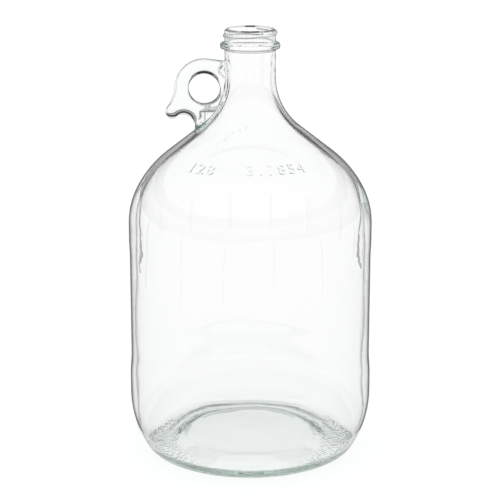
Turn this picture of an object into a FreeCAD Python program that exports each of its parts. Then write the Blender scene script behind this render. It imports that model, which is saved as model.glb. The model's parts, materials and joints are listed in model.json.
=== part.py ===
import FreeCAD, Part
import math
import os

V = FreeCAD.Vector
up = V(0, 0, 1)
touching = 1e-4

# Driving dimensions of the one gallon glass jug, in millimetres, up from the table it stands on.
total_height = 296.6

# Body: two contact bands with a slightly sunken panel between them.
lower_band_radius = 84.4
upper_band_inset = 0.5
panel_inset = 0.9
lower_band_top = 58.0
panel_step = 9.0
upper_band_height = 13.0
top_height = 133.6
shoulder_start = total_height - top_height
upper_band_bottom = shoulder_start - upper_band_height
upper_band_radius = lower_band_radius - upper_band_inset
panel_radius = lower_band_radius - panel_inset

# Shoulder: two arcs that curl in, a straight cone and an arc that curls up into the neck.
neck_radius = 17.3
first_turn = 28.0
cone_angle = 52.0
outer_shoulder_radii = (52.0, 75.0, 44.0)

# Heel: a wide arc under the lower band, then a tight one onto the bearing ring.
heel_top = 42.0
heel_radius = 70.0
heel_turn = 31.0
bearing_inset = 22.4
bearing_inner_radius = lower_band_radius - bearing_inset

# Underside: a shallow conical push-up with a flat disc in its middle.
disc_height = 7.5
disc_inset = 40.4
disc_step = 0.9
disc_slope = 1.6
disc_radius = lower_band_radius - disc_inset

# Cavity: the wall is what is left between it and the outside.
wall_thickness = 4.1
inner_shoulder_radii = (50.0, 68.0, 47.0)
inner_heel_top = 39.0
inner_heel_radius = 70.0
inner_heel_turn = 25.0
floor_inset = 12.9
floor_edge_height = 6.4
floor_disc_height = 11.6
cavity_radius = lower_band_radius - wall_thickness

# Finish: a 38 mm mouth with a transfer bead under the place of its thread.
lip_thickness = 2.6
lip_bevel = 0.8
bead_proud = 3.0
bead_depth = 11.6
bead_root_half_width = 2.6
bead_crown_half_width = 1.0
bead_radius = neck_radius + bead_proud
mouth_radius = neck_radius - lip_thickness

# Handle: a finger ring against the neck, with a curled tail and an arch down to the shoulder.
ring_reach = 31.2
ring_drop = 40.9
ring_radius = 20.2
ring_top_angle = 83.0
finger_hole_radius = 10.7
tail_reach = 21.8
tail_drop = 15.7
tail_radius = 4.6
back_radius = 25.0
arch_radius = 7.6
arch_reach = 6.5
handle_thickness = 12.5
handle_rounding = 4.2
finger_hole_bevel = 1.8
handle_inner_reach = 11.0
handle_foot_drop = 74.6
root_fillet = 2.0
ring_centre = V(-ring_reach, 0, total_height - ring_drop)
tail_centre = ring_centre - V(tail_reach, 0, tail_drop)


def polar(centre, radius, degrees):
    """The point at this angle on a circle in the XZ plane."""
    angle = math.radians(degrees)
    return centre + V(radius * math.cos(angle), 0, radius * math.sin(angle))


def arc(centre, radius, start, end):
    """An arc in the XZ plane, between two angles in degrees."""
    middle = polar(centre, radius, (start + end) / 2)
    return Part.Arc(polar(centre, radius, start), middle, polar(centre, radius, end)).toShape()


def angle_to(start, end):
    """The direction from one point to another in the XZ plane, in degrees."""
    return math.degrees(math.atan2(end.z - start.z, end.x - start.x))


def chain(pieces):
    """The edges and points in order, joined by straight lines where they don't touch."""
    edges = []
    place = None
    for piece in pieces:
        is_point = isinstance(piece, FreeCAD.Vector)
        start = piece if is_point else piece.valueAt(piece.FirstParameter)
        if place and place.distanceToPoint(start) > touching:
            edges.append(Part.makeLine(place, start))
        if not is_point:
            edges.append(piece)
        place = start if is_point else piece.valueAt(piece.LastParameter)
    return edges


def turned(pieces):
    """A solid of revolution from an outline that starts and ends on the jug's axis."""
    outline = Part.Wire(chain(pieces + pieces[:1]))
    return Part.Face(outline).revolve(V(0, 0, 0), up, 360)


def shoulder(body_radius, end_radius, radii):
    """From the upright body wall to the upright neck wall."""
    first, second, third = radii
    a = math.radians(first_turn)
    b = math.radians(cone_angle)
    turned_in = first * (1 - math.cos(a)) + second * (math.cos(a) - math.cos(b)) + third * (1 - math.cos(b))
    cone_length = (body_radius - end_radius - turned_in) / math.sin(b)
    first_centre = V(body_radius - first, 0, shoulder_start)
    second_centre = polar(first_centre, first - second, first_turn)
    cone_foot = polar(second_centre, second, cone_angle)
    cone_head = cone_foot + V(-math.sin(b), 0, math.cos(b)) * cone_length
    third_centre = polar(cone_head, third, cone_angle)
    return [
        arc(first_centre, first, 0, first_turn),
        arc(second_centre, second, first_turn, cone_angle),
        arc(third_centre, third, 180 + cone_angle, 180),
    ]


def heel():
    """From the bearing ring up to the lower band."""
    wide_centre = V(lower_band_radius - heel_radius, 0, heel_top)
    join = polar(wide_centre, heel_radius, -heel_turn)
    tight_radius = join.z / (1 - math.sin(math.radians(heel_turn)))
    tight_centre = polar(join, -tight_radius, -heel_turn)
    return [
        arc(tight_centre, tight_radius, -90, -heel_turn),
        arc(wide_centre, heel_radius, -heel_turn, 0),
    ]


def underside():
    """From the axis out to the bearing ring."""
    return [
        V(0, 0, disc_height),
        V(disc_radius - disc_slope, 0, disc_height),
        V(disc_radius, 0, disc_height - disc_step),
        V(bearing_inner_radius, 0, 0),
    ]


def body():
    """The outside of the jug without its handle and thread, filled."""
    bead_height = total_height - bead_depth
    wall = [
        V(lower_band_radius, 0, lower_band_top),
        V(panel_radius, 0, lower_band_top + panel_step),
        V(panel_radius, 0, upper_band_bottom - panel_step),
        V(upper_band_radius, 0, upper_band_bottom),
    ]
    finish = [
        V(neck_radius, 0, bead_height - bead_root_half_width),
        V(bead_radius, 0, bead_height - bead_crown_half_width),
        V(bead_radius, 0, bead_height + bead_crown_half_width),
        V(neck_radius, 0, bead_height + bead_root_half_width),
        V(neck_radius, 0, total_height - lip_bevel),
        V(neck_radius - lip_bevel, 0, total_height),
        V(0, 0, total_height),
    ]
    neck = shoulder(upper_band_radius, neck_radius, outer_shoulder_radii)
    outline = underside() + heel() + wall + neck + finish
    return turned(outline)


def cavity():
    """The room inside the jug, up through its mouth."""
    heel_centre = V(cavity_radius - inner_heel_radius, 0, inner_heel_top)
    inner_heel = arc(heel_centre, inner_heel_radius, -inner_heel_turn, 0)
    neck = shoulder(cavity_radius, mouth_radius, inner_shoulder_radii)
    mouth = [
        V(mouth_radius, 0, total_height - lip_bevel),
        V(mouth_radius + lip_bevel, 0, total_height),
        V(0, 0, total_height),
    ]
    floor = [
        V(0, 0, floor_disc_height),
        V(disc_radius, 0, floor_disc_height),
        V(lower_band_radius - floor_inset, 0, floor_edge_height),
    ]
    return turned(floor + [inner_heel] + neck + mouth)


def handle():
    """The finger ring, its tail and its roots, cut as a plate and rounded all round."""
    reach = ring_radius + back_radius
    tail_gap = tail_radius + back_radius
    apart = ring_centre.distanceToPoint(tail_centre)
    along = (reach**2 - tail_gap**2 + apart**2) / (2 * apart)
    lean = math.degrees(math.acos(along / reach))
    back_centre = polar(ring_centre, reach, angle_to(ring_centre, tail_centre) - lean)
    arch_side_x = ring_centre.x - arch_reach
    arch_x = arch_side_x - arch_radius
    drop = math.sqrt((tail_radius + arch_radius) ** 2 - (arch_x - tail_centre.x) ** 2)
    arch_centre = V(arch_x, 0, tail_centre.z - drop)
    back_start = angle_to(back_centre, ring_centre)
    back_end = angle_to(back_centre, tail_centre)
    ring_end = angle_to(ring_centre, back_centre) % 360
    tail_start = angle_to(tail_centre, back_centre) % 360
    tail_end = angle_to(tail_centre, arch_centre) % 360
    arch_start = angle_to(arch_centre, tail_centre) % 360
    ring_top = polar(ring_centre, ring_radius, ring_top_angle)
    top_slope = math.radians(90 - ring_top_angle)
    top_fall = (-handle_inner_reach - ring_top.x) * math.tan(top_slope)
    foot_height = total_height - handle_foot_drop
    outline = chain([
        arc(ring_centre, ring_radius, ring_top_angle, ring_end),
        arc(back_centre, back_radius, back_start, back_end),
        arc(tail_centre, tail_radius, tail_start, tail_end),
        arc(arch_centre, arch_radius, arch_start, 0),
        V(arch_side_x, 0, foot_height),
        V(-handle_inner_reach, 0, foot_height),
        V(-handle_inner_reach, 0, ring_top.z - top_fall),
        ring_top,
    ])
    side = V(0, handle_thickness / 2, 0)
    face = Part.Face(Part.Wire(outline))
    face.translate(-side)
    plate = face.extrude(side * 2)
    plate = plate.makeFillet(handle_rounding, side_edges(plate, side.y))
    hole = Part.makeCylinder(finger_hole_radius, handle_thickness, ring_centre - side, side)
    plate = plate.cut(hole)
    rims = [edge for edge in side_edges(plate, side.y) if isinstance(edge.Curve, Part.Circle)]
    rims = [edge for edge in rims if edge.Curve.Center.distanceToPoint(ring_centre) < handle_thickness]
    return plate.makeChamfer(finger_hole_bevel, rims)


def side_edges(plate, side):
    """The edges that bound the two flat sides of an upright plate."""
    return [edge for edge in plate.Edges if abs(abs(edge.CenterOfMass.y) - side) < touching]


def junction(whole, first, second):
    """The edges of a fused shape where the surfaces of two of its parts meet."""
    found = []
    for edge in whole.Edges:
        middle = Part.Vertex(edge.valueAt((edge.FirstParameter + edge.LastParameter) / 2))
        if all(middle.distToShape(part.Shells[0])[0] < touching for part in (first, second)):
            found.append(edge)
    return found


def jug():
    """The whole jug: one piece of glass."""
    outside = body()
    grip = handle()
    solid = outside.fuse(grip)
    solid = solid.makeFillet(root_fillet, junction(solid, outside, grip))
    return solid.cut(cavity())


os.makedirs("parts", exist_ok=True)
jug().exportStep("parts/jug.step")
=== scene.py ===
import json
import math

import bmesh
import bpy
from mathutils import Matrix, Vector

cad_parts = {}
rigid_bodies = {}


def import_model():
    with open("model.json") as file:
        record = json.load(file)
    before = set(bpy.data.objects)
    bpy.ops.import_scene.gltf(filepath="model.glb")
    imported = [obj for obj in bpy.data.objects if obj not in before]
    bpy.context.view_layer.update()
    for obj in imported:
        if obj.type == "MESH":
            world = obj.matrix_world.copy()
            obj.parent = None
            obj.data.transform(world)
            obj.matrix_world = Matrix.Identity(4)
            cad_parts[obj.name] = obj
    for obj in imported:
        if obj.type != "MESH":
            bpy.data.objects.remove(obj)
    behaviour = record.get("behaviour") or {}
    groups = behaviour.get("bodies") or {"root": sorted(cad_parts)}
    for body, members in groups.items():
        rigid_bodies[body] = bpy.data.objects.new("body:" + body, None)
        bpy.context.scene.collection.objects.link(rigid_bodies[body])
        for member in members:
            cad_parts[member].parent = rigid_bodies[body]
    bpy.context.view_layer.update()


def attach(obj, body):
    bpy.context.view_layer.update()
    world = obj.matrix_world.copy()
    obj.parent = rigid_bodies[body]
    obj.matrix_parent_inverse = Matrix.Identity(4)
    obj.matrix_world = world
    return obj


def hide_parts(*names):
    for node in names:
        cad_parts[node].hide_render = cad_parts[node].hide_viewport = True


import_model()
mm = 0.001  # the jug's sizes are in millimetres, the studio's in metres
tiny = 1e-5  # a length that counts as none

drawing = {
    "arcStep": 9,  # degrees at most from point to point on an arc
    "cornerStep": 11,  # and on a rounded corner
    "samePoint": 0.01,  # points of a line closer than this are one
    "weld": 0.004,  # and so are vertices of a turned skin
    "smoothUnder": 50.0,  # degrees between faces that are shaded as one
}

jugShape = {
    "steps": 180,  # round the axis
    "height": 296.6,
    "bandRadius": 84.36,  # a hair inside the CAD facets
    "upperBandRadius": 83.9,
    "panelRadius": 83.5,
    "lowerBandTop": 58.0,
    "panelBottom": 67.0,
    "panelTop": 141.0,
    "upperBandBottom": 150.0,
    "shoulderStart": 163.0,
    "bandRounding": 85.0,
    "firstTurn": 28.0,  # degrees of the shoulder's first arc
    "coneAngle": 52.0,
    "outerRadii": (52.0, 75.0, 44.0),
    "innerRadii": (50.0, 68.0, 47.0),
    "neckRadius": 17.3,
    # corners, as here, are radius, height and rounding
    "bead": ((17.3, 282.2, 0.8), (20.3, 283.5, 1.4), (20.3, 286.5, 1.4), (17.3, 287.8, 0.8)),
    "heelTop": 42.0,
    "heelRadius": 70.0,
    "heelTurn": 31.0,
    "pushUp": ((0, 8.2, 0), (43.4, 7.2, 5.0), (62.0, 0.0, 3.0)),
    "wall": 4.1,
    "mouthRadius": 14.7,
    "innerHeelTop": 39.0,
    "innerHeelRadius": 70.0,
    "innerHeelTurn": 25.0,
    "floor": ((71.5, 6.4, 3.5), (44.0, 11.6, 60.0), (0, 11.8, 0)),
    "lipRounding": 1.2,
    "lipMiddle": 16.0,
    "wide": 6.0,  # spacing of the points on straight walls
    "coarse": 3.0,  # on the curves of the body
    "straight": 1.56,  # on the shoulder's cone
    "fine": 1.2,  # and on the neck, where the handle joins
}

jugWaves = {"depth": 0.35, "size": 45.0, "fadeFrom": 170.0, "fadeTo": 225.0}
jugGrip = {"inner": 58.0, "outer": 71.0, "top": 4.5, "depth": 0.22}  # stippled bearing ring
jugHollows = {
    "edge": 0.7,  # below 1 the sides of a hollow are steeper
    "places": (  # side, height, reach above and below, half width, depth
        (-1, 269.2, 5.0, 6.5, 3.7, 5.4),
        (-1, 240.4, 3.6, 11.5, 4.0, 13.0),
        (-1, 256.0, 20.0, 18.0, 4.4, 2.6),
        (1, 273.6, 2.6, 4.2, 3.4, 1.7),
    ),
}


def hexColour(code):
    channels = [int(code[i:i + 2], 16) / 255 for i in (0, 2, 4)]
    linear = [c / 12.92 if c <= 0.04045 else ((c + 0.055) / 1.055) ** 2.4 for c in channels]
    return (*linear, 1.0)


def addNode(tree, kind, values=None, links=None, **settings):
    node = tree.nodes.new(kind)
    for name, value in settings.items():
        setattr(node, name, value)
    for socket, value in (values or {}).items():
        node.inputs[socket].default_value = value
    for socket, source in (links or {}).items():
        tree.links.new(source, node.inputs[socket])
    return node


def newMaterial(name):
    material = bpy.data.materials.new(name)
    material.use_nodes = True
    material.node_tree.nodes.clear()
    return material, material.node_tree


def pickNone():
    bpy.ops.object.select_all(action="DESELECT")


def pick(piece):
    pickNone()
    piece.select_set(True)
    bpy.context.view_layer.objects.active = piece


def editing(piece, mode="VERT"):
    # edit mode with everything selected
    pick(piece)
    bpy.ops.object.mode_set(mode="EDIT")
    bpy.ops.mesh.select_mode(type=mode)
    bpy.ops.mesh.select_all(action="SELECT")


def doneEditing():
    bpy.ops.object.mode_set(mode="OBJECT")


def polar(centre, radius, degrees):  # in the XZ plane
    angle = math.radians(degrees)
    return centre + Vector((math.cos(angle), 0, math.sin(angle))) * radius


def angleTo(start, end):
    return math.degrees(math.atan2(end.z - start.z, end.x - start.x))


def arcPoints(centre, radius, start, end, spacing):
    sweep = abs(end - start)
    length = radius * math.radians(sweep)
    steps = max(2, math.ceil(length / spacing), math.ceil(sweep / drawing["arcStep"]))
    return [polar(centre, radius, start + (end - start) * i / steps) for i in range(steps + 1)]


def roundedLine(corners, spacing):
    # corners are (x, z, rounding); long runs are divided
    places = [Vector((x, 0, z)) for x, z, _ in corners]
    roundings = [rounding for _, _, rounding in corners]
    line = [places[0]]
    for before, here, after, rounding in zip(places, places[1:], places[2:], roundings[1:]):
        back = (before - here).normalized()
        ahead = (after - here).normalized()
        turn = math.pi - back.angle(ahead)
        reach = rounding * math.tan(turn / 2)
        if reach < tiny:
            line.append(here)
            continue
        byAngle = math.ceil(math.degrees(turn) / drawing["cornerStep"])
        steps = max(2, byAngle, math.ceil(rounding * turn / spacing))
        middle = here + (back + ahead).normalized() * math.hypot(reach, rounding)
        first = here + back * reach - middle
        outward = first.normalized()
        side = (ahead - outward * ahead.dot(outward)).normalized()
        for i in range(steps + 1):
            share = turn * i / steps
            line.append(middle + first * math.cos(share) + side * rounding * math.sin(share))
    line.append(places[-1])
    full = [line[0]]
    for point in line[1:]:
        start = full[-1]
        gap = (point - start).length
        if gap < tiny:
            continue
        steps = max(1, math.ceil(gap / spacing))
        full += [start.lerp(point, i / steps) for i in range(1, steps + 1)]
    return full


def joinedLines(*lines):
    whole = [point for line in lines for point in line]
    apart = [(there - here).length > drawing["samePoint"] for here, there in zip(whole, whole[1:])]
    return whole[:1] + [point for point, new in zip(whole[1:], apart) if new]


def tracedLine(name, points, closed=False):
    pickNone()
    bpy.ops.mesh.primitive_plane_add(size=mm)
    piece = bpy.context.object
    piece.name = name
    editing(piece)
    bpy.ops.mesh.merge(type="CENTER")  # one vertex to start from
    bpy.ops.transform.translate(value=points[0] * mm)
    for here, there in zip(points, points[1:]):
        bpy.ops.mesh.extrude_vertices_move(TRANSFORM_OT_translate={"value": (there - here) * mm})
    if closed:
        bpy.ops.mesh.select_all(action="SELECT")
        bpy.ops.mesh.remove_doubles(threshold=drawing["samePoint"] * mm)
        bpy.ops.mesh.edge_face_add()
    doneEditing()
    return piece


def turnedShell(name, points, steps):
    shell = tracedLine(name, points)
    editing(shell)
    bpy.ops.mesh.spin(steps=steps, angle=2 * math.pi, center=(0, 0, 0), axis=(0, 0, 1))
    bpy.ops.mesh.select_all(action="SELECT")
    bpy.ops.mesh.remove_doubles(threshold=drawing["weld"] * mm)
    bpy.ops.mesh.normals_make_consistent(inside=False)
    doneEditing()
    return shell


def tell(piece):
    mesh = bmesh.new()
    mesh.from_mesh(piece.data)
    triangles = sum(len(face.verts) - 2 for face in mesh.faces)
    loose = sum(1 for edge in mesh.edges if not edge.is_manifold)
    volume = mesh.calc_volume(signed=True) * 1e6
    print("  %s: %d triangles, %d open edges, %.1f cm3" % (piece.name, triangles, loose, volume))
    mesh.free()


def combine(piece, tool, operation):
    pick(piece)
    step = piece.modifiers.new("combine", "BOOLEAN")
    step.operation = operation
    step.solver = "EXACT"
    step.object = tool
    bpy.ops.object.modifier_apply(modifier=step.name)
    bpy.data.objects.remove(tool)


def shoulderLine(shape, bodyRadius, endRadius, radii):
    # two arcs that curl in, a straight cone and an arc that curls up into the neck
    first, second, third = radii
    a, b = math.radians(shape["firstTurn"]), math.radians(shape["coneAngle"])
    turnedIn = first * (1 - math.cos(a)) + second * (math.cos(a) - math.cos(b)) + third * (1 - math.cos(b))
    coneLength = (bodyRadius - endRadius - turnedIn) / math.sin(b)
    firstCentre = Vector((bodyRadius - first, 0, shape["shoulderStart"]))
    secondCentre = polar(firstCentre, first - second, shape["firstTurn"])
    coneFoot = polar(secondCentre, second, shape["coneAngle"])
    coneHead = coneFoot + Vector((-math.sin(b), 0, math.cos(b))) * coneLength
    thirdCentre = polar(coneHead, third, shape["coneAngle"])
    cone = [(coneFoot.x, coneFoot.z, 0), (coneHead.x, coneHead.z, 0)]
    return joinedLines(
        arcPoints(firstCentre, first, 0, shape["firstTurn"], shape["coarse"]),
        arcPoints(secondCentre, second, shape["firstTurn"], shape["coneAngle"], shape["coarse"]),
        roundedLine(cone, shape["straight"]),
        arcPoints(thirdCentre, third, 180 + shape["coneAngle"], 180, shape["fine"]),
    )


def outerLine(shape):
    wideCentre = Vector((shape["bandRadius"] - shape["heelRadius"], 0, shape["heelTop"]))
    join = polar(wideCentre, shape["heelRadius"], -shape["heelTurn"])
    tightRadius = join.z / (1 - math.sin(math.radians(shape["heelTurn"])))
    tightCentre = polar(join, -tightRadius, -shape["heelTurn"])
    under = roundedLine([*shape["pushUp"], (tightCentre.x, 0, 0)], shape["wide"])
    heel = joinedLines(
        arcPoints(tightCentre, tightRadius, -90, -shape["heelTurn"], shape["fine"]),
        arcPoints(wideCentre, shape["heelRadius"], -shape["heelTurn"], 0, shape["coarse"]),
    )
    rounding = shape["bandRounding"]
    wall = roundedLine(
        [
            (shape["bandRadius"], shape["heelTop"], 0),
            (shape["bandRadius"], shape["lowerBandTop"], rounding),
            (shape["panelRadius"], shape["panelBottom"], rounding),
            (shape["panelRadius"], shape["panelTop"], rounding),
            (shape["upperBandRadius"], shape["upperBandBottom"], rounding),
            (shape["upperBandRadius"], shape["shoulderStart"], 0),
        ],
        shape["wide"],
    )
    neck, top = shape["neckRadius"], shape["height"]
    shoulder = shoulderLine(shape, shape["upperBandRadius"], neck, shape["outerRadii"])
    finish = roundedLine(
        [
            (neck, shoulder[-1].z, 0),
            *shape["bead"],
            (neck, top, shape["lipRounding"]),
            (shape["lipMiddle"], top, 0),
        ],
        shape["fine"],
    )
    return joinedLines(under, heel, wall, shoulder, finish)


def innerLine(shape):
    top, mouth = shape["height"], shape["mouthRadius"]
    bandInside = shape["bandRadius"] - shape["wall"]
    panelInside = shape["panelRadius"] - shape["wall"]
    upperInside = shape["upperBandRadius"] - shape["wall"]
    shoulder = shoulderLine(shape, upperInside, mouth, shape["innerRadii"])[::-1]
    lip = roundedLine(
        [
            (shape["lipMiddle"], top, 0),
            (mouth, top, shape["lipRounding"]),
            (mouth, shoulder[0].z, 0),
        ],
        shape["coarse"],
    )
    rounding = shape["bandRounding"]
    wall = roundedLine(
        [
            (upperInside, shape["shoulderStart"], 0),
            (upperInside, shape["upperBandBottom"], rounding),
            (panelInside, shape["panelTop"], rounding),
            (panelInside, shape["panelBottom"], rounding),
            (bandInside, shape["lowerBandTop"], rounding),
            (bandInside, shape["innerHeelTop"], 0),
        ],
        shape["wide"],
    )
    heelRadius, heelTurn = shape["innerHeelRadius"], shape["innerHeelTurn"]
    heelCentre = Vector((bandInside - heelRadius, 0, shape["innerHeelTop"]))
    heelEnd = polar(heelCentre, heelRadius, -heelTurn)
    return joinedLines(
        lip,
        shoulder,
        wall,
        arcPoints(heelCentre, heelRadius, 0, -heelTurn, shape["coarse"]),
        roundedLine([(heelEnd.x, heelEnd.z, 0), *shape["floor"]], shape["coarse"]),
    )


# The glass: one closed skin, outside and inside, joined over the lip.
print("stage: turned shells")
outerPoints = outerLine(jugShape)
outerPoints.append(Vector((0, 0, jugShape["height"])))  # a lid for the booleans, taken off again
outside = turnedShell("jug_glass", outerPoints, jugShape["steps"])
inside = turnedShell("jug_inside", innerLine(jugShape), jugShape["steps"])
tell(outside)
tell(inside)

# Stippled ring that the jug stands on: every other vertex is pushed in.
for vertex in outside.data.vertices:
    radius = math.hypot(vertex.co.x, vertex.co.y) / mm
    if jugGrip["inner"] < radius < jugGrip["outer"] and vertex.co.z / mm < jugGrip["top"]:
        turn = round(math.atan2(vertex.co.y, vertex.co.x) / (2 * math.pi) * jugShape["steps"])
        if (turn + round(radius / jugShape["fine"])) % 2:
            vertex.co.z += jugGrip["depth"] * mm

# The hollows inside the handle's roots, and a small dent across the neck from them.
for vertex in inside.data.vertices:
    x, y, z = vertex.co / mm
    for side, height, above, below, halfWidth, depth in jugHollows["places"]:
        room = 1 - (y / halfWidth) ** 2 - ((z - height) / (above if z > height else below)) ** 2
        if x * side > 0 and room > 0:
            vertex.co.x += side * depth * room ** jugHollows["edge"] * mm

# Blown glass is never quite even inside, so slow waves run over the inner wall.
waves = bpy.data.textures.new("blown_waves", "CLOUDS")
waves.noise_scale = jugWaves["size"] * mm
waves.noise_depth = 1
group = inside.vertex_groups.new(name="waves")
for vertex in inside.data.vertices:
    fade = (jugWaves["fadeTo"] - vertex.co.z / mm) / (jugWaves["fadeTo"] - jugWaves["fadeFrom"])
    group.add([vertex.index], min(1, max(0, fade)), "REPLACE")
pick(inside)
step = inside.modifiers.new("waves", "DISPLACE")
step.texture = waves
step.texture_coords = "LOCAL"
step.strength = jugWaves["depth"] * 2 * mm
step.mid_level = 0.5
step.vertex_group = "waves"
bpy.ops.object.modifier_apply(modifier=step.name)

# The handle: a plate with a round hole, rounded, laid into the neck and the shoulder.
print("stage: handle")
jugHandle = {
    "ringCentre": Vector((-31.2, 0, 255.7)),
    "ringRadius": 20.2,
    "ringTopAngle": 83.0,
    "holeRadius": 10.7,
    "holeRounding": 1.5,
    "holeSteps": 96,
    "flareStep": 15,  # degrees from point to point over the hole's rims
    "tailCentre": Vector((-53.0, 0, 240.0)),
    "tailRadius": 4.6,
    "backRadius": 25.0,
    "archRadius": 7.6,
    "archSide": -37.7,
    "thickness": 12.5,
    "rounding": 4.2,
    "roundingSteps": 6,
    "innerSide": -11.0,
    "foot": 222.0,
    "wide": 4.0,  # spacing of the points on the straight sides
    "coarse": 1.5,  # on the ring and its back
    "medium": 1.0,  # on the arch
    "fine": 0.8,  # and on the tail
    "voxel": 0.52,
    "softenRounds": 4,
    "meltSharp": 24.0,  # degrees from which a seam at the roots is smoothed
    "meltHalfWidth": 9.0,
    "meltFrom": 220.0,
    "meltTo": 280.0,
    "meltReach": 4,
    "meltRounds": 14,
}


def handleLine(grip):
    ring, tail = grip["ringCentre"], grip["tailCentre"]
    reach = grip["ringRadius"] + grip["backRadius"]
    tailGap = grip["tailRadius"] + grip["backRadius"]
    apart = (ring - tail).length
    along = (reach**2 - tailGap**2 + apart**2) / (2 * apart)
    lean = math.degrees(math.acos(along / reach))
    back = polar(ring, reach, angleTo(ring, tail) - lean)
    archX = grip["archSide"] - grip["archRadius"]
    drop = math.sqrt((grip["tailRadius"] + grip["archRadius"]) ** 2 - (archX - tail.x) ** 2)
    arch = Vector((archX, 0, tail.z - drop))
    ringTop = polar(ring, grip["ringRadius"], grip["ringTopAngle"])
    fall = (grip["innerSide"] - ringTop.x) * math.tan(math.radians(90 - grip["ringTopAngle"]))
    straight = roundedLine(
        [
            (grip["archSide"], arch.z, 0),
            (grip["archSide"], grip["foot"], 0),
            (grip["innerSide"], grip["foot"], 0),
            (grip["innerSide"], ringTop.z - fall, 0),
            (ringTop.x, ringTop.z, 0),
        ],
        grip["wide"],
    )
    ringEnd = angleTo(ring, back) % 360
    tailStart, tailEnd = angleTo(tail, back) % 360, angleTo(tail, arch) % 360
    return joinedLines(
        arcPoints(ring, grip["ringRadius"], grip["ringTopAngle"], ringEnd, grip["coarse"]),
        arcPoints(back, grip["backRadius"], angleTo(back, ring), angleTo(back, tail), grip["coarse"]),
        arcPoints(tail, grip["tailRadius"], tailStart, tailEnd, grip["fine"]),
        arcPoints(arch, grip["archRadius"], angleTo(arch, tail) % 360, 0, grip["medium"]),
        straight,
    )


def selectEdges(piece, wanted):
    editing(piece, "EDGE")
    bpy.ops.mesh.select_all(action="DESELECT")
    mesh = bmesh.from_edit_mesh(piece.data)
    for edge in mesh.edges:
        edge.select_set(wanted(edge))
    bmesh.update_edit_mesh(piece.data)


def evenOut(piece, size):
    # one skin of small even faces, which a boolean cuts cleanly
    pick(piece)
    step = piece.modifiers.new("even", "REMESH")
    step.mode = "VOXEL"
    step.voxel_size = size * mm
    bpy.ops.object.modifier_apply(modifier=step.name)


def makeHoleTool(grip):
    # a turned tool that flares at both ends, so that the hole's rims come out rounded
    rounding = grip["holeRounding"]
    wide = grip["holeRadius"] + rounding
    reach = grip["thickness"] / 2
    flareCentre = Vector((wide, 0, reach - rounding))
    flare = [polar(flareCentre, -rounding, turn) for turn in range(0, -91, -grip["flareStep"])]
    profile = [Vector((0, 0, reach * 2)), Vector((wide, 0, reach * 2))] + flare[::-1]
    profile += [Vector((p.x, 0, -p.z)) for p in profile[::-1]]
    hole = turnedShell("finger_hole", profile, grip["holeSteps"])
    hole.data.transform(Matrix.Translation(grip["ringCentre"] * mm) @ Matrix.Rotation(math.pi / 2, 4, "X"))
    tell(hole)
    return hole


def makeHandle(grip):
    plate = tracedLine("handle_plate", handleLine(grip), closed=True)
    side = grip["thickness"] / 2 * mm
    editing(plate)
    bpy.ops.transform.translate(value=(0, -side, 0))
    bpy.ops.mesh.extrude_region_move(TRANSFORM_OT_translate={"value": (0, side * 2, 0)})
    bpy.ops.mesh.select_all(action="SELECT")
    bpy.ops.mesh.normals_make_consistent(inside=False)
    doneEditing()

    def onSides(edge):
        a, b = edge.verts
        return abs(a.co.y - b.co.y) < tiny and abs(abs(a.co.y) - side) < tiny

    selectEdges(plate, onSides)
    bpy.ops.mesh.bevel(
        offset=grip["rounding"] * mm, segments=grip["roundingSteps"], profile=0.5, affect="EDGES",
        clamp_overlap=False,
    )
    doneEditing()
    evenOut(plate, grip["voxel"])  # the bevel crosses itself in the tight corners
    combine(plate, makeHoleTool(grip), "DIFFERENCE")
    evenOut(plate, grip["voxel"])
    step = plate.modifiers.new("soften", "SMOOTH")
    step.iterations = grip["softenRounds"]
    bpy.ops.object.modifier_apply(modifier=step.name)
    return plate


handle = makeHandle(jugHandle)
tell(handle)

# The thread: one round ridge that climbs anticlockwise, its ends sunk into the lip.
print("stage: thread")
jugThread = {
    "outerRadius": 18.45,
    "ridgeRadius": 1.25,
    "ridgeSides": 14,
    "pitch": 4.23,
    "turns": 1.08,
    "startDepth": 1.9,
    "startAngle": 80.0,  # the top end, at the back
    "taper": 14.0,  # degrees over which each end sinks in
    "thinning": 0.7,  # share of its thickness that an end loses
    "sink": 1.3,
    "steps": 180,
}


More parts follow.
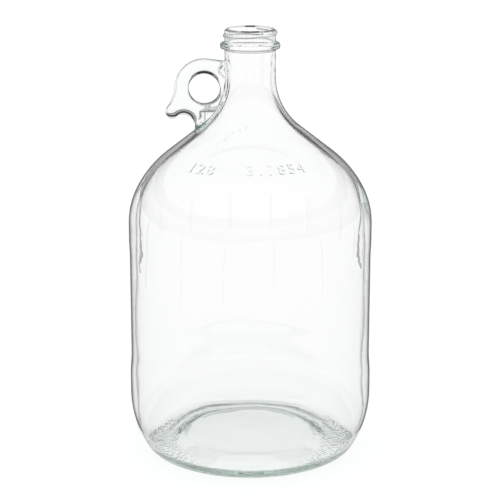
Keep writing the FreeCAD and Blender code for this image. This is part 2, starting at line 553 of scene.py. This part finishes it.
def makeThread(thread):
    fullTurn = 2 * math.pi * thread["turns"]
    climb = thread["pitch"] * thread["turns"]
    helixRadius = thread["outerRadius"] - thread["ridgeRadius"]
    pickNone()
    bpy.ops.mesh.primitive_circle_add(
        vertices=thread["ridgeSides"], radius=thread["ridgeRadius"] * mm, fill_type="NOTHING",
        location=(helixRadius * mm, 0, 0), rotation=(math.pi / 2, 0, 0),
    )
    ridge = bpy.context.object
    ridge.name = "thread_ridge"
    bpy.ops.object.transform_apply(location=True, rotation=True, scale=True)
    step = ridge.modifiers.new("climb", "SCREW")
    step.angle = fullTurn
    step.screw_offset = climb * mm
    step.steps = thread["steps"]
    step.render_steps = thread["steps"]
    bpy.ops.object.modifier_apply(modifier=step.name)
    taper = math.radians(thread["taper"])
    for vertex in ridge.data.vertices:
        # how far round this vertex is, from its height on the helix
        angle = math.atan2(vertex.co.y, vertex.co.x) % (2 * math.pi)
        guess = vertex.co.z / (climb * mm) * fullTurn
        angle += round((guess - angle) / (2 * math.pi)) * 2 * math.pi
        near = min(angle, fullTurn - angle) / taper
        if near < 1:
            share = (1 - near) ** 2
            outward = Vector((math.cos(angle), math.sin(angle), 0))
            middle = outward * helixRadius * mm + Vector((0, 0, angle / fullTurn * climb * mm))
            thinned = (vertex.co - middle) * (1 - thread["thinning"] * share)
            vertex.co = middle + thinned - outward * thread["sink"] * share * mm
    editing(ridge, "EDGE")
    bpy.ops.mesh.fill_holes(sides=0)
    bpy.ops.mesh.select_all(action="SELECT")
    bpy.ops.mesh.normals_make_consistent(inside=False)
    doneEditing()
    bottom = jugShape["height"] - thread["startDepth"] - climb
    turn = Matrix.Rotation(math.radians(thread["startAngle"]) - fullTurn, 4, "Z")
    ridge.data.transform(Matrix.Translation((0, 0, bottom * mm)) @ turn)
    return ridge


thread = makeThread(jugThread)
tell(thread)

# Raised capacity numbers: litres and fluid ounces in a gallon, in plain figures.
print("stage: marks")
jugMarks = {
    "height": 8.6,  # of a figure, up the slope
    "raised": 0.45,
    "pitch": 6.9,  # degrees from figure to figure
    "front": (("128", -39.8, 210.0), ("3.7854", 0.0, 210.6)),  # text, degrees round, height
    "smallHeight": 4.6,
    "smallRaised": 0.36,
    "small": (
        ("1", 204.0, 208.0),
        ("2", 199.0, 210.5),
        ("3", 194.0, 213.0),
        ("4", 189.0, 215.5),
        ("5", 184.0, 218.0),
    ),
    "figureShare": 0.73,  # of the type size, that a figure's height takes up
    "curveSteps": 4,
}


def slopeAt(points, height):
    # radius and outward slope of the outside at this height on the shoulder
    for low, high in zip(points, points[1:]):
        if low.z <= height <= high.z and low.x > jugShape["neckRadius"] and low.z > jugShape["heelTop"]:
            share = (height - low.z) / (high.z - low.z)
            place = low.lerp(high, share)
            along = (high - low).normalized()
            return place.x, math.atan2(-along.x, along.z)
    raise ValueError("no slope at %s" % height)


def makeFigure(text, size, raised, azimuth, height):
    pickNone()
    bpy.ops.object.text_add()
    figure = bpy.context.object
    figure.data.body = text
    figure.data.size = size / jugMarks["figureShare"] * mm
    figure.data.align_x = "CENTER"
    figure.data.align_y = "CENTER"
    figure.data.extrude = raised * mm
    figure.data.resolution_u = jugMarks["curveSteps"]
    bpy.ops.object.convert(target="MESH")
    figure = bpy.context.object
    radius, lean = slopeAt(outerPoints, height)
    # text lies in XY and faces +Z: stand it up, lean it back, carry it out and round
    stand = Matrix.Rotation(math.pi / 2 - lean, 4, "X")
    carry = Matrix.Translation((0, -radius * mm, height * mm))
    turn = Matrix.Rotation(math.radians(azimuth), 4, "Z")
    figure.data.transform(turn @ carry @ stand)
    editing(figure)
    bpy.ops.mesh.remove_doubles(threshold=drawing["samePoint"] * mm)
    bpy.ops.mesh.normals_make_consistent(inside=False)
    doneEditing()
    return figure


figures = []
for text, start, height in jugMarks["front"]:
    for place, sign in enumerate(text):
        azimuth = start + place * jugMarks["pitch"]
        figures.append(makeFigure(sign, jugMarks["height"], jugMarks["raised"], azimuth, height))
for text, azimuth, height in jugMarks["small"]:
    figures.append(makeFigure(text, jugMarks["smallHeight"], jugMarks["smallRaised"], azimuth, height))

print("stage: melt together")
for raised in [handle, thread] + figures:
    combine(outside, raised, "UNION")
tell(outside)

# The handle's roots flow into the neck and the shoulder.
editing(outside, "EDGE")
bpy.ops.mesh.select_all(action="DESELECT")
bpy.ops.mesh.edges_select_sharp(sharpness=math.radians(jugHandle["meltSharp"]))
bpy.ops.mesh.select_mode(type="VERT")
mesh = bmesh.from_edit_mesh(outside.data)
for vertex in mesh.verts:
    x, y, z = vertex.co / mm
    behind = x < jugHandle["innerSide"] and abs(y) < jugHandle["meltHalfWidth"]
    if not (behind and jugHandle["meltFrom"] < z < jugHandle["meltTo"]):
        vertex.select_set(False)
mesh.select_flush(False)
bmesh.update_edit_mesh(outside.data)
for _ in range(jugHandle["meltReach"]):
    bpy.ops.mesh.select_more()
bpy.ops.mesh.vertices_smooth(factor=0.5, repeat=jugHandle["meltRounds"])
doneEditing()

# The lid comes off and the inside is joined on.
editing(outside)
bpy.ops.mesh.select_all(action="DESELECT")
mesh = bmesh.from_edit_mesh(outside.data)
for vertex in mesh.verts:
    vertex.select_set(vertex.co.xy.length < tiny and vertex.co.z > jugShape["height"] / 2 * mm)
bmesh.update_edit_mesh(outside.data)
bpy.ops.mesh.delete(type="VERT")
doneEditing()
pick(outside)
inside.select_set(True)
bpy.ops.object.join()
jug = outside
editing(jug)
bpy.ops.mesh.remove_doubles(threshold=drawing["weld"] * mm)
bpy.ops.mesh.fill_holes(sides=4)  # slivers that a union can drop
bpy.ops.mesh.normals_make_consistent(inside=False)
doneEditing()
bpy.ops.object.shade_smooth_by_angle(angle=math.radians(drawing["smoothUnder"]))
tell(jug)

# Soda-lime container glass, pressed and blown: clear, glossy, faintly green where it is thick.
print("stage: materials")
glassLook = {
    "ior": 1.52,
    "tint": "DDEFE6",
    "density": 9.0,
    "edgeFrom": 0.76,  # one less the cosine of the angle at which the painted dark outline starts
    "edgeFull": 0.88,
    # painted shade: the colour that the outline is darkened to
    "paintedEdgeShade": 0.0,
    "shadow": "F6F9F8",  # what each surface lets through to the floor
    "waveSize": 26.0,
    "waveStrength": 0.05,
    "gripFrom": 46.0,  # radii where the pits start, are full and end
    "gripFull": 60.0,
    "gripEnd": 71.0,
    "gripFade": 2.0,
    "gripTop": 5.0,  # heights up to which they are full, and where they end
    "gripOver": 6.2,
    "gripSize": 2.2,
    "gripDepth": 0.45,
}


def makeGlass(look):
    material, tree = newMaterial("soda_lime_glass")
    place = addNode(tree, "ShaderNodeTexCoord")
    noise = addNode(
        tree, "ShaderNodeTexNoise",
        {"Scale": 1 / (look["waveSize"] * mm), "Detail": 2.0, "Roughness": 0.4},
        {"Vector": place.outputs["Object"]},
    )
    waves = addNode(
        tree, "ShaderNodeBump",
        {"Strength": look["waveStrength"], "Distance": mm},
        {"Height": noise.outputs["Fac"]},
    )
    # the grip pattern pressed into the foot: small round pits from the push-up out to the heel
    parts = addNode(tree, "ShaderNodeSeparateXYZ", None, {0: place.outputs["Object"]})
    flat = addNode(tree, "ShaderNodeCombineXYZ", None, {0: parts.outputs["X"], 1: parts.outputs["Y"]})
    radius = addNode(tree, "ShaderNodeVectorMath", None, {0: flat.outputs[0]}, operation="LENGTH")
    ring = addNode(
        tree, "ShaderNodeMapRange",
        {"From Min": look["gripFrom"] * mm, "From Max": look["gripFull"] * mm, "To Min": 0.0, "To Max": 1.0},
        {"Value": radius.outputs["Value"]}, interpolation_type="SMOOTHSTEP",
    )
    foot = addNode(
        tree, "ShaderNodeMapRange",
        {"From Min": look["gripTop"] * mm, "From Max": look["gripOver"] * mm, "To Min": 1.0, "To Max": 0.0},
        {"Value": parts.outputs["Z"]}, interpolation_type="SMOOTHSTEP",
    )
    rimStart, rimEnd = look["gripEnd"] * mm, (look["gripEnd"] + look["gripFade"]) * mm
    rim = addNode(
        tree, "ShaderNodeMapRange",
        {"From Min": rimStart, "From Max": rimEnd, "To Min": 1.0, "To Max": 0.0},
        {"Value": radius.outputs["Value"]}, interpolation_type="SMOOTHSTEP",
    )
    inner = addNode(
        tree, "ShaderNodeMath", None, {0: ring.outputs[0], 1: foot.outputs[0]}, operation="MULTIPLY",
    )
    within = addNode(
        tree, "ShaderNodeMath", None, {0: inner.outputs[0], 1: rim.outputs[0]}, operation="MULTIPLY",
    )
    pits = addNode(
        tree, "ShaderNodeTexVoronoi",
        {"Scale": 1 / (look["gripSize"] * mm)},
        {"Vector": place.outputs["Object"]},
    )
    pitHeight, under = pits.outputs["Distance"], waves.outputs["Normal"]
    bump = addNode(
        tree, "ShaderNodeBump",
        {"Distance": look["gripDepth"] * mm},
        {"Height": pitHeight, "Strength": within.outputs[0], "Normal": under},
    )
    # painted dark reflection: the colour goes dark where the outside is seen very flat, standing in for the
    # dark ends of the room that real glass mirrors at its outline
    facing = addNode(tree, "ShaderNodeLayerWeight", {"Blend": 0.5})
    edgeStart, edgeEnd = look["edgeFrom"], look["edgeFull"]
    paintedOutlineShade = addNode(
        tree, "ShaderNodeMapRange",
        {"From Min": edgeStart, "From Max": edgeEnd, "To Min": 1.0, "To Max": look["paintedEdgeShade"]},
        {"Value": facing.outputs["Facing"]}, interpolation_type="SMOOTHSTEP",
    )
    # the painted shade falls only where the skin is seen from outside; this becomes the glass's base colour
    side = addNode(tree, "ShaderNodeNewGeometry")
    outer = addNode(
        tree, "ShaderNodeMath", None,
        {0: paintedOutlineShade.outputs[0], 1: side.outputs["Backfacing"]}, operation="MAXIMUM",
    )
    surface = addNode(
        tree, "ShaderNodeBsdfPrincipled",
        {"Roughness": 0.0, "IOR": look["ior"], "Transmission Weight": 1.0},
        {"Normal": bump.outputs["Normal"], "Base Color": outer.outputs[0]},
    )
    # light that falls on the floor goes straight through, so the jug's shadow is pale like a real one's
    path = addNode(tree, "ShaderNodeLightPath")
    falls = addNode(
        tree, "ShaderNodeMath", None,
        {0: path.outputs["Is Shadow Ray"], 1: path.outputs["Is Diffuse Ray"]}, operation="MAXIMUM",
    )
    through = addNode(tree, "ShaderNodeBsdfTransparent", {"Color": hexColour(look["shadow"])})
    skin = addNode(
        tree, "ShaderNodeMixShader", None,
        {0: falls.outputs[0], 1: surface.outputs[0], 2: through.outputs[0]},
    )
    depth = addNode(
        tree, "ShaderNodeVolumeAbsorption", {"Color": hexColour(look["tint"]), "Density": look["density"]},
    )
    addNode(tree, "ShaderNodeOutputMaterial", None, {"Surface": skin.outputs[0], "Volume": depth.outputs[0]})
    return material


glass = makeGlass(glassLook)
jug.data.materials.clear()
jug.data.materials.append(glass)
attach(jug, "root")
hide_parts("jug")

# Studio: a pale floor, soft white light, and dark and grey pieces that only the glass sees.
print("stage: studio")
studio = {
    "floorSize": 12.0,
    "floorColour": 0.36,
    "floorLift": 0.67,  # how far the floor that is looked at is brightened
    "sheetLift": 0.0005,  # of what lies on the floor
    "flagCount": 8,
    "flagNear": 0.5,
    "flagFar": 5.0,
    "flagSpread": 0.016,  # half width for each metre of distance
    "tentRadius": 6.0,
    "tentGap": 0.09,
    "tentSides": 128,
    "tentTone": 0.3,
    "ringRadius": 0.45,
    "ringSides": 96,
    "ringFrom": 0.3,
    "ringTo": 0.4,
    "zenithTone": 0.75,  # what the glass mirrors from above
    "mirrorFull": 25.0,  # degrees above the horizon where it has that tone
    "whiteUpTo": 21.0,  # and between which the bent view goes dark
    "darkFrom": 25.0,
    "ceilingTone": 0.0,
}


def seesBackdrop(tree):
    # 1 where the camera, a reflection or a refraction looks, 0 for light that falls on things
    path = addNode(tree, "ShaderNodeLightPath")
    seen = path.outputs["Is Camera Ray"]
    for ray in ("Is Glossy Ray", "Is Transmission Ray"):
        either = addNode(tree, "ShaderNodeMath", None, {0: seen, 1: path.outputs[ray]}, operation="MAXIMUM")
        seen = either.outputs[0]
    return seen


def makeFloor():
    pickNone()
    bpy.ops.mesh.primitive_plane_add(size=studio["floorSize"])
    floor = bpy.context.object
    floor.name = "studio_floor"
    material, tree = newMaterial("white_sweep")
    shade = studio["floorColour"]
    diffuse = addNode(tree, "ShaderNodeBsdfDiffuse", {"Color": (shade, shade, shade, 1)})
    lift = addNode(
        tree, "ShaderNodeMath", {1: studio["floorLift"]}, {0: seesBackdrop(tree)}, operation="MULTIPLY",
    )
    glow = addNode(tree, "ShaderNodeEmission", {"Color": (1, 1, 1, 1)}, {"Strength": lift.outputs[0]})
    both = addNode(tree, "ShaderNodeAddShader", None, {0: diffuse.outputs[0], 1: glow.outputs[0]})
    addNode(tree, "ShaderNodeOutputMaterial", None, {"Surface": both.outputs[0]})
    floor.data.materials.append(material)
    return floor


def hideFromAllBut(card, *rays):
    for ray in ("camera", "diffuse", "glossy", "transmission", "shadow"):
        setattr(card, "visible_" + ray, ray in rays)


def makeFlags(paint):
    # narrow dark strips that run outwards on the floor: the walls bend them into thin edge lines
    flags = []
    for place in range(studio["flagCount"]):
        pickNone()
        bpy.ops.mesh.primitive_plane_add(size=2)
        flag = bpy.context.object
        flag.name = "studio_flag_%d" % place
        for corner in flag.data.vertices:
            distance = studio["flagFar"] if corner.co.x > 0 else studio["flagNear"]
            corner.co = (distance, corner.co.y * distance * studio["flagSpread"], studio["sheetLift"])
        turn = (place + 0.5) * 2 * math.pi / studio["flagCount"]
        flag.data.transform(Matrix.Rotation(turn, 4, "Z"))
        flag.data.materials.append(paint)
        hideFromAllBut(flag, "transmission")
        flags.append(flag)
    return flags


def makeTent(paint):
    # a grey sheet on the floor that only reflections see, so the glass mirrors no bright floor
    pickNone()
    bpy.ops.mesh.primitive_circle_add(
        vertices=studio["tentSides"], radius=studio["tentRadius"], fill_type="NGON",
        location=(0, 0, studio["sheetLift"]),
    )
    tent = bpy.context.object
    tent.name = "studio_tent"
    editing(tent, "FACE")
    bpy.ops.mesh.inset(thickness=studio["tentRadius"] - studio["tentGap"])
    bpy.ops.mesh.delete(type="FACE")  # open where the jug stands
    doneEditing()
    tent.data.materials.append(paint)
    hideFromAllBut(tent, "glossy")
    return tent


def makeRing(paint):
    # a dark hoop round the neck that only bent light sees: it draws the bead, the thread and the handle
    low, high = studio["ringFrom"], studio["ringTo"]
    pickNone()
    bpy.ops.mesh.primitive_cylinder_add(
        vertices=studio["ringSides"], radius=studio["ringRadius"], depth=high - low,
        end_fill_type="NOTHING", location=(0, 0, (low + high) / 2),
    )
    ring = bpy.context.object
    ring.name = "studio_ring"
    ring.data.materials.append(paint)
    hideFromAllBut(ring, "transmission")
    return ring


def makePaint(name, tone):
    material, tree = newMaterial(name)
    glow = addNode(tree, "ShaderNodeEmission", {"Color": (tone, tone, tone, 1), "Strength": 1.0})
    addNode(tree, "ShaderNodeOutputMaterial", None, {"Surface": glow.outputs[0]})
    return material


def makeWorld():
    # soft white light from all round; the glass bends in a white backdrop with a dark room above it,
    # and mirrors a grey one
    world = bpy.data.worlds.new("studio_world")
    bpy.context.scene.world = world
    world.use_nodes = True
    tree = world.node_tree
    tree.nodes.clear()
    white = (1, 1, 1, 1)
    light = addNode(tree, "ShaderNodeBackground", {"Color": white, "Strength": 1.0})
    view = addNode(tree, "ShaderNodeTexCoord")
    parts = addNode(tree, "ShaderNodeSeparateXYZ", None, {0: view.outputs["Generated"]})
    angles = (studio["whiteUpTo"], studio["darkFrom"], studio["mirrorFull"])
    low, high, full = (math.sin(math.radians(angle)) for angle in angles)
    bentTone = addNode(
        tree, "ShaderNodeMapRange",
        {"From Min": low, "From Max": high, "To Min": 1.0, "To Max": studio["ceilingTone"]},
        {"Value": parts.outputs["Z"]}, interpolation_type="SMOOTHSTEP",
    )
    mirrorTone = addNode(
        tree, "ShaderNodeMapRange",
        {"From Min": 0.0, "From Max": full, "To Min": studio["tentTone"], "To Max": studio["zenithTone"]},
        {"Value": parts.outputs["Z"]},
    )
    bent = addNode(tree, "ShaderNodeBackground", {"Color": white}, {"Strength": bentTone.outputs[0]})
    mirrored = addNode(tree, "ShaderNodeBackground", {"Color": white}, {"Strength": mirrorTone.outputs[0]})
    path = addNode(tree, "ShaderNodeLightPath")
    glass = addNode(
        tree, "ShaderNodeMixShader", None,
        {0: path.outputs["Is Transmission Ray"], 1: light.outputs[0], 2: bent.outputs[0]},
    )
    room = addNode(
        tree, "ShaderNodeMixShader", None,
        {0: path.outputs["Is Glossy Ray"], 1: glass.outputs[0], 2: mirrored.outputs[0]},
    )
    addNode(tree, "ShaderNodeOutputWorld", None, {"Surface": room.outputs[0]})


makeWorld()
floor = makeFloor()
blackCard = makePaint("black_card", 0)
tent = makeTent(makePaint("grey_tent", studio["tentTone"]))
makeRing(blackCard)
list(makeFlags(blackCard))

# Camera of the photograph: 1.15 m away, 0.44 m up, looking 14.5 degrees down.
eye = {
    "place": (0, -1146.0, 443.0),
    "pitch": 14.5,
    "sensor": 36.0,
    "lens": 122.717,
    "shiftX": -0.0004,
    "shiftY": -0.0118,
}
bpy.ops.object.camera_add()
camera = bpy.context.object
camera.location = Vector(eye["place"]) * mm
camera.rotation_euler = (math.radians(90 - eye["pitch"]), 0, 0)
camera.data.sensor_width = eye["sensor"]
camera.data.lens = eye["lens"]
camera.data.shift_x = eye["shiftX"]
camera.data.shift_y = eye["shiftY"]
bpy.context.scene.camera = camera
bpy.context.scene.view_settings.view_transform = "Standard"

# Thick glass needs long light paths: each turn inside the wall and the heel is a bounce.
lightPaths = {"max": 40, "glossy": 40, "transmission": 40, "transparent_max": 16}
for kind, bounces in lightPaths.items():
    setattr(bpy.context.scene.cycles, kind + "_bounces", bounces)
